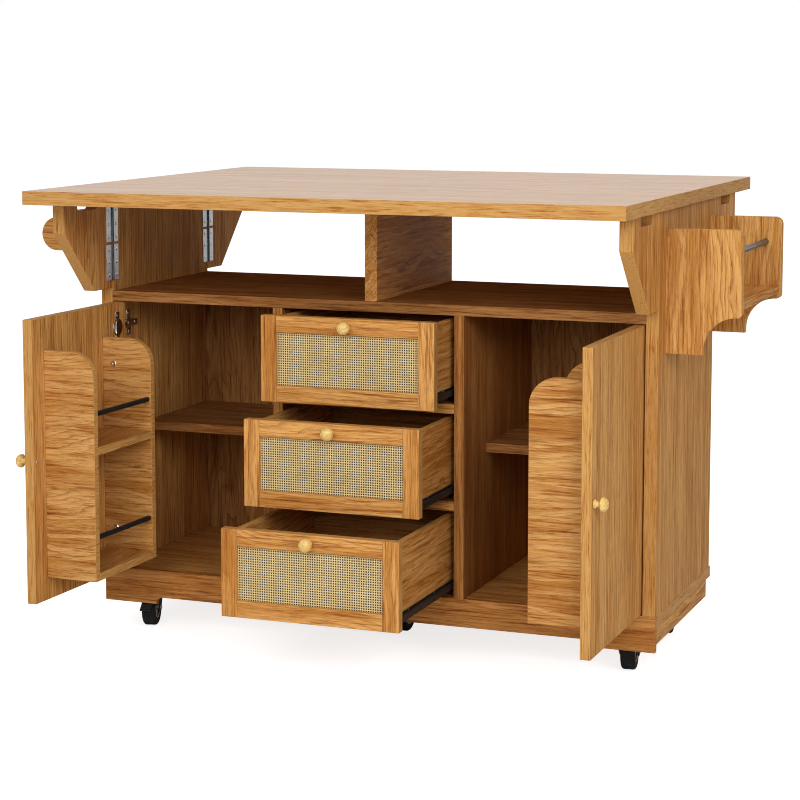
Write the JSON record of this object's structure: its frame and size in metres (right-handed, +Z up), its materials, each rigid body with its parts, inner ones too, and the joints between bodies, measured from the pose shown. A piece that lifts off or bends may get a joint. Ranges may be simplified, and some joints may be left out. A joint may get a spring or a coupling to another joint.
{
  "type": "kitchen island",
  "caption": "Rolling wooden kitchen island with a drop-leaf worktop on folding wings, an open shelf, cane drawers, doors with racks, a spice rack and a towel rail.",
  "frame": {"origin": "on the floor, in the middle of the footprint of the unit as pictured, with doors and drawers open", "axes": "+X to the right along the worktop, +Y to the back, +Z up; the doors and drawers face -Y"},
  "size_m": [1.461, 1.0562, 0.914],
  "materials": {
    "oak": "golden-brown stained wood with a satin clear coat",
    "worktop": "stained wood boards with a smooth satin coat",
    "cane": "woven natural cane webbing",
    "birch": "turned pale wood with a gloss coat",
    "rod": "dark grey painted steel",
    "caster_black": "black painted pressed steel",
    "rubber_tread": "black rubber tread on a black core"
  },
  "bodies": {
    "carcass": {"side_panel_left": "oak", "side_panel_right": "oak", "partition_left": "oak", "partition_right": "oak", "shelf_left": "oak", "shelf_right": "oak", "plinth_left": "oak", "plinth_right": "oak", "plinth_back": "oak", "plinth_front": "oak", "base_panel": "oak", "back_panel": "oak", "deck_panel": "oak", "centre_divider": "oak", "drawer_rail_lower": "oak", "drawer_rail_upper": "oak", "spice_bracket_front": "oak", "spice_bracket_rear": "oak", "spice_shelf": "oak", "towel_bracket_front": "oak", "towel_bracket_rear": "oak", "top_board": "worktop", "spice_rod": "rod", "towel_rod": "rod"},
    "leaf_front": {"drop_leaf_front": "worktop"},
    "leaf_back": {"drop_leaf_back": "worktop"},
    "wing_front_left": {"wing_front_left": "oak"},
    "wing_front_right": {"wing_front_right": "oak"},
    "wing_back_left": {"wing_back_left": "oak"},
    "wing_back_right": {"wing_back_right": "oak"},
    "door_left": {"door_left": "oak", "door_rack_left": "oak", "door_knob_left": "birch"},
    "door_right": {"door_right": "oak", "door_rack_right": "oak", "door_knob_right": "birch"},
    "drawer_bottom": {"drawer_front_bottom": "oak", "cane_panel_bottom": "cane", "drawer_box_bottom": "oak", "drawer_knob_bottom": "birch"},
    "drawer_middle": {"drawer_front_middle": "oak", "cane_panel_middle": "cane", "drawer_box_middle": "oak", "drawer_knob_middle": "birch"},
    "drawer_top": {"drawer_front_top": "oak", "cane_panel_top": "cane", "drawer_box_top": "oak", "drawer_knob_top": "birch"},
    "caster_front_left": {"caster_fork_front_left": "caster_black"},
    "wheel_front_left": {"caster_wheel_front_left": "rubber_tread"},
    "pedal_front_left": {"brake_pedal_front_left": "caster_black"},
    "caster_front_right": {"caster_fork_front_right": "caster_black"},
    "wheel_front_right": {"caster_wheel_front_right": "rubber_tread"},
    "pedal_front_right": {"brake_pedal_front_right": "caster_black"},
    "caster_rear_left": {"caster_fork_rear_left": "caster_black"},
    "wheel_rear_left": {"caster_wheel_rear_left": "rubber_tread"},
    "caster_rear_right": {"caster_fork_rear_right": "caster_black"},
    "wheel_rear_right": {"caster_wheel_rear_right": "rubber_tread"},
    "caster_centre": {"caster_fork_centre": "caster_black"},
    "wheel_centre": {"caster_wheel_centre": "rubber_tread"}
  },
  "joints": [
    {"name": "leaf_front_lift", "type": "hinge", "parent": "carcass", "child": "leaf_front", "pos_m": [0.01, -0.20575, 0.8832], "axis": [-1, 0, 0], "range_deg": [0, 2.5]},
    {"name": "leaf_back_lift", "type": "hinge", "parent": "carcass", "child": "leaf_back", "pos_m": [0.01, 0.26175, 0.8832], "axis": [1, 0, 0], "range_deg": [0, 2.5]},
    {"name": "wing_front_left_fold", "type": "hinge", "parent": "carcass", "child": "wing_front_left", "pos_m": [-0.5382, -0.1905, 0.795], "axis": [0, 0, 1], "range_deg": [0, 176]},
    {"name": "wing_front_right_fold", "type": "hinge", "parent": "carcass", "child": "wing_front_right", "pos_m": [0.5582, -0.1905, 0.795], "axis": [0, 0, 1], "range_deg": [-176, 0]},
    {"name": "wing_back_left_fold", "type": "hinge", "parent": "carcass", "child": "wing_back_left", "pos_m": [-0.5382, 0.2465, 0.795], "axis": [0, 0, 1], "range_deg": [-176, 0]},
    {"name": "wing_back_right_fold", "type": "hinge", "parent": "carcass", "child": "wing_back_right", "pos_m": [0.5582, 0.2465, 0.795], "axis": [0, 0, 1], "range_deg": [0, 176]},
    {"name": "door_left_swing", "type": "hinge", "parent": "carcass", "child": "door_left", "pos_m": [-0.534, -0.184, 0.404], "axis": [0, 0, 1], "range_deg": [-12, 92]},
    {"name": "door_right_swing", "type": "hinge", "parent": "carcass", "child": "door_right", "pos_m": [0.554, -0.184, 0.404], "axis": [0, 0, 1], "range_deg": [-90, 14]},
    {"name": "drawer_bottom_slide", "type": "slide", "parent": "carcass", "child": "drawer_bottom", "axis": [0, -1, 0], "range_m": [-0.288, 0.022]},
    {"name": "drawer_middle_slide", "type": "slide", "parent": "carcass", "child": "drawer_middle", "axis": [0, -1, 0], "range_m": [-0.185, 0.125]},
    {"name": "drawer_top_slide", "type": "slide", "parent": "carcass", "child": "drawer_top", "axis": [0, -1, 0], "range_m": [-0.105, 0.205]},
    {"name": "caster_front_left_swivel", "type": "hinge", "parent": "carcass", "child": "caster_front_left", "pos_m": [-0.498, -0.116, 0.095], "axis": [0, 0, 1], "continuous": true},
    {"name": "wheel_front_left_roll", "type": "hinge", "parent": "caster_front_left", "child": "wheel_front_left", "pos_m": [-0.49386, -0.13145, 0.0375], "axis": [-0.9659, -0.2588, 0], "continuous": true},
    {"name": "pedal_front_left_press", "type": "hinge", "parent": "caster_front_left", "child": "pedal_front_left", "pos_m": [-0.48739, -0.1556, 0.073], "axis": [-0.9659, -0.2588, 0], "range_deg": [-10, 8]},
    {"name": "caster_front_right_swivel", "type": "hinge", "parent": "carcass", "child": "caster_front_right", "pos_m": [0.518, -0.116, 0.095], "axis": [0, 0, 1], "continuous": true},
    {"name": "wheel_front_right_roll", "type": "hinge", "parent": "caster_front_right", "child": "wheel_front_right", "pos_m": [0.51605, -0.10012, 0.0375], "axis": [0.9925, 0.1219, 0], "continuous": true},
    {"name": "pedal_front_right_press", "type": "hinge", "parent": "caster_front_right", "child": "pedal_front_right", "pos_m": [0.513, -0.07531, 0.073], "axis": [0.9925, 0.1219, 0], "range_deg": [-10, 8]},
    {"name": "caster_rear_left_swivel", "type": "hinge", "parent": "carcass", "child": "caster_rear_left", "pos_m": [-0.498, 0.172, 0.095], "axis": [0, 0, 1], "continuous": true},
    {"name": "wheel_rear_left_roll", "type": "hinge", "parent": "caster_rear_left", "child": "wheel_rear_left", "pos_m": [-0.50023, 0.15616, 0.0375], "axis": [-0.9903, 0.1392, 0], "continuous": true},
    {"name": "caster_rear_right_swivel", "type": "hinge", "parent": "carcass", "child": "caster_rear_right", "pos_m": [0.518, 0.172, 0.095], "axis": [0, 0, 1], "continuous": true},
    {"name": "wheel_rear_right_roll", "type": "hinge", "parent": "caster_rear_right", "child": "wheel_rear_right", "pos_m": [0.51577, 0.18784, 0.0375], "axis": [0.9903, 0.1392, 0], "continuous": true},
    {"name": "caster_centre_swivel", "type": "hinge", "parent": "carcass", "child": "caster_centre", "pos_m": [0.01, 0.028, 0.095], "axis": [0, 0, 1], "continuous": true},
    {"name": "wheel_centre_roll", "type": "hinge", "parent": "caster_centre", "child": "wheel_centre", "pos_m": [0.01, 0.012, 0.0375], "axis": [-1, 0, 0], "continuous": true}
  ]
}
